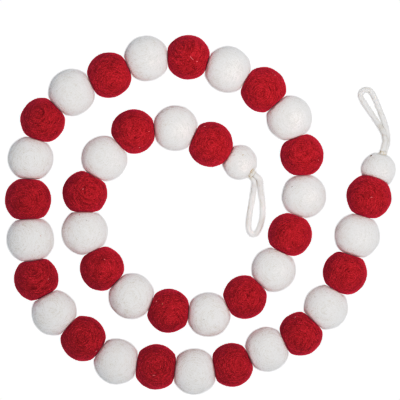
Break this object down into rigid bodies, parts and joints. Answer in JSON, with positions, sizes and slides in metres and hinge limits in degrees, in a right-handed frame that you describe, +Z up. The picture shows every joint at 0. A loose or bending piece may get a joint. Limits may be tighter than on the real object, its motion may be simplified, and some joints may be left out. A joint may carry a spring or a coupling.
{
  "type": "felt ball garland",
  "caption": "Garland of red and white wool felt balls strung close together, laid in a loose spiral, with a small white ball and a hanging loop of wool cord at each end.",
  "frame": {"origin": "on the surface that the garland lies on, at the middle of its length and width", "axes": "+Z up from the surface, +X along the longer way across the spiral, towards the small ball at its outer end, +Y the other way across, to the side that the outer loop points to"},
  "size_m": [0.426, 0.392, 0.0516],
  "materials": {
    "white_felt": "matte wool felt, ivory white",
    "red_felt": "matte wool felt, deep red",
    "white_wool_cord": "soft fuzzy wool cord, ivory white",
    "beige_thread": "plain sewing thread, beige"
  },
  "bodies": {
    "root": {"white_ball_01": "white_felt", "red_ball_02": "red_felt", "white_ball_03": "white_felt", "red_ball_04": "red_felt", "white_ball_05": "white_felt", "red_ball_06": "red_felt", "white_ball_07": "white_felt", "red_ball_08": "red_felt", "white_ball_09": "white_felt", "red_ball_10": "red_felt", "white_ball_11": "white_felt", "red_ball_12": "red_felt", "white_ball_13": "white_felt", "red_ball_14": "red_felt", "white_ball_15": "white_felt", "red_ball_16": "red_felt", "white_ball_17": "white_felt", "red_ball_18": "red_felt", "white_ball_19": "white_felt", "red_ball_20": "red_felt", "white_ball_21": "white_felt", "red_ball_22": "red_felt", "white_ball_23": "white_felt", "red_ball_24": "red_felt", "white_ball_25": "white_felt", "red_ball_26": "red_felt", "white_ball_27": "white_felt", "red_ball_28": "red_felt", "white_ball_29": "white_felt", "red_ball_30": "red_felt", "white_ball_31": "white_felt", "red_ball_32": "red_felt", "white_ball_33": "white_felt", "red_ball_34": "red_felt", "white_ball_35": "white_felt", "red_ball_36": "red_felt", "white_ball_37": "white_felt", "red_ball_38": "red_felt", "white_ball_39": "white_felt", "red_ball_40": "red_felt", "white_ball_41": "white_felt", "outer_loop": "white_wool_cord", "inner_loop": "white_wool_cord", "outer_binding": "beige_thread", "inner_binding": "beige_thread"}
  },
  "joints": []
}
